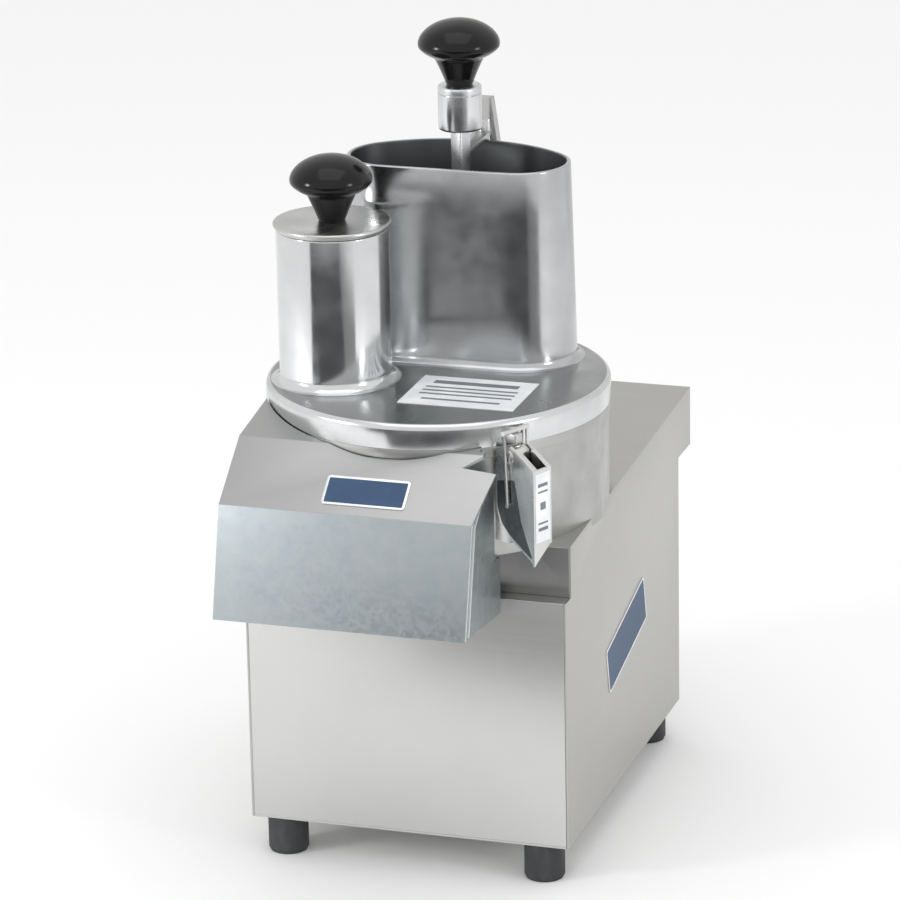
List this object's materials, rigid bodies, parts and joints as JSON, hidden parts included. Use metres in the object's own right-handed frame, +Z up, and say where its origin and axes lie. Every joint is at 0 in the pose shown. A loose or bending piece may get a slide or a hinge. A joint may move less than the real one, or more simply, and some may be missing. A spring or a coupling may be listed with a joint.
{
  "type": "vegetable cutter",
  "caption": "Countertop continuous-feed vegetable cutter: steel box base, round disc bowl with a hinged lid, small and large feed hoppers with push handles, front discharge hood.",
  "frame": {"origin": "middle of the bounding box at the underside of the feet", "axes": "+Z up (longest extent), -Y is the front with the discharge hood, +X is the latch side"},
  "size_m": [0.2416, 0.396, 0.5448],
  "materials": {
    "box_steel": "brushed stainless sheet",
    "panel_steel": "satin stainless sheet",
    "plate_dark": "satin stainless sheet in shade",
    "plain_steel": "plain sheet",
    "foot_rubber": "moulded rubber",
    "screw_steel": "machined",
    "black_plastic": "moulded",
    "cast_alloy": "satin cast alloy",
    "polished_alloy": "polished cast alloy",
    "machined_alloy": "machined alloy",
    "bearing_steel": "ground steel",
    "motor_paint": "grey enamel",
    "belt_rubber": "ribbed belt",
    "disc_steel": "stainless",
    "ejector_plastic": "moulded",
    "knob_black": "glossy phenolic",
    "hood_steel": "satin sheet",
    "label_white": "printed film",
    "badge_blue": "printed film",
    "latch_steel": "bright stainless",
    "button_green": "moulded",
    "button_red": "moulded"
  },
  "bodies": {
    "base": {"housing": "box_steel", "front_panel": "panel_steel", "chute_back_plate": "plate_dark", "bottom_plate": "plain_steel", "rear_panel": "box_steel", "rubber_feet": "foot_rubber", "foot_screws": "screw_steel", "cable_gland": "black_plastic", "vent_screws": "screw_steel", "mounting_plate": "plain_steel", "spindle_housing": "machined_alloy", "upper_bearing": "bearing_steel", "lower_bearing": "bearing_steel", "motor_body": "motor_paint", "motor_bracket": "plain_steel", "drive_belt": "belt_rubber", "capacitor": "black_plastic", "safety_switch": "black_plastic", "disc_bowl": "cast_alloy", "bowl_bush": "machined_alloy", "bowl_screws": "screw_steel", "hinge_bracket": "cast_alloy", "hinge_pin": "screw_steel", "discharge_hood": "hood_steel", "hood_badge": "badge_blue", "side_badge": "badge_blue", "latch_bracket": "cast_alloy", "latch_pin": "latch_steel", "switch_box": "black_plastic"},
    "cutter": {"spindle": "screw_steel", "driven_pulley": "machined_alloy", "ejector_disc": "ejector_plastic", "slicing_disc": "disc_steel", "slicing_blades": "disc_steel", "disc_nut": "black_plastic"},
    "motor_rotor": {"motor_shaft": "screw_steel", "motor_pulley": "machined_alloy"},
    "lid": {"lid_cover": "cast_alloy", "small_feed_tube": "polished_alloy", "large_hopper": "polished_alloy", "guide_sleeve": "cast_alloy", "lid_hinge_ear": "cast_alloy", "latch_catch": "cast_alloy", "lid_label": "label_white", "lid_magnet": "black_plastic"},
    "small_pusher": {"small_pusher": "polished_alloy", "small_push_knob": "knob_black"},
    "large_pusher": {"pusher_plate": "polished_alloy", "pusher_bar": "screw_steel", "pusher_boss": "polished_alloy", "pusher_arm": "cast_alloy", "guide_rod": "screw_steel", "large_push_knob": "knob_black"},
    "latch_handle": {"latch_lever": "latch_steel", "latch_sticker": "label_white"},
    "bail": {"latch_bail": "latch_steel"},
    "start": {"start_button": "button_green"},
    "stop": {"stop_button": "button_red"}
  },
  "joints": [
    {"name": "motor_spin", "type": "hinge", "parent": "base", "child": "motor_rotor", "pos_m": [0.00725, 0.096, 0.126], "axis": [0, 0, 1], "continuous": true},
    {"name": "disc_spin", "type": "hinge", "parent": "base", "child": "cutter", "pos_m": [0.00725, -0.031, 0.226], "axis": [0, 0, 1], "continuous": true},
    {"name": "lid_open", "type": "hinge", "parent": "base", "child": "lid", "pos_m": [-0.07373, 0.05958, 0.311], "axis": [-0.7455, -0.6665, 0], "range_deg": [0, 95]},
    {"name": "small_push", "type": "slide", "parent": "lid", "child": "small_pusher", "axis": [0, 0, 1], "range_m": [0, 0.1]},
    {"name": "large_push", "type": "slide", "parent": "lid", "child": "large_pusher", "axis": [0, 0, 1], "range_m": [0, 0.095]},
    {"name": "latch_lift", "type": "hinge", "parent": "base", "child": "latch_handle", "pos_m": [0.0886, -0.12156, 0.299], "axis": [-0.4226, -0.9063, 0], "range_deg": [0, 75]},
    {"name": "bail_swing", "type": "hinge", "parent": "latch_handle", "child": "bail", "pos_m": [0.08905, -0.12177, 0.267], "axis": [-0.4226, -0.9063, 0], "range_deg": [-97.5, 0]},
    {"name": "start_press", "type": "slide", "parent": "base", "child": "start", "axis": [1, 0, 0], "range_m": [0, 0.003], "stiffness_N_per_m": 400},
    {"name": "stop_press", "type": "slide", "parent": "base", "child": "stop", "axis": [1, 0, 0], "range_m": [0, 0.003], "stiffness_N_per_m": 400}
  ],
  "couplings": [
    {"joint": "disc_spin", "follows": "motor_spin", "ratio": 0.2807},
    {"joint": "bail_swing", "follows": "latch_lift", "ratio": -1.3}
  ]
}
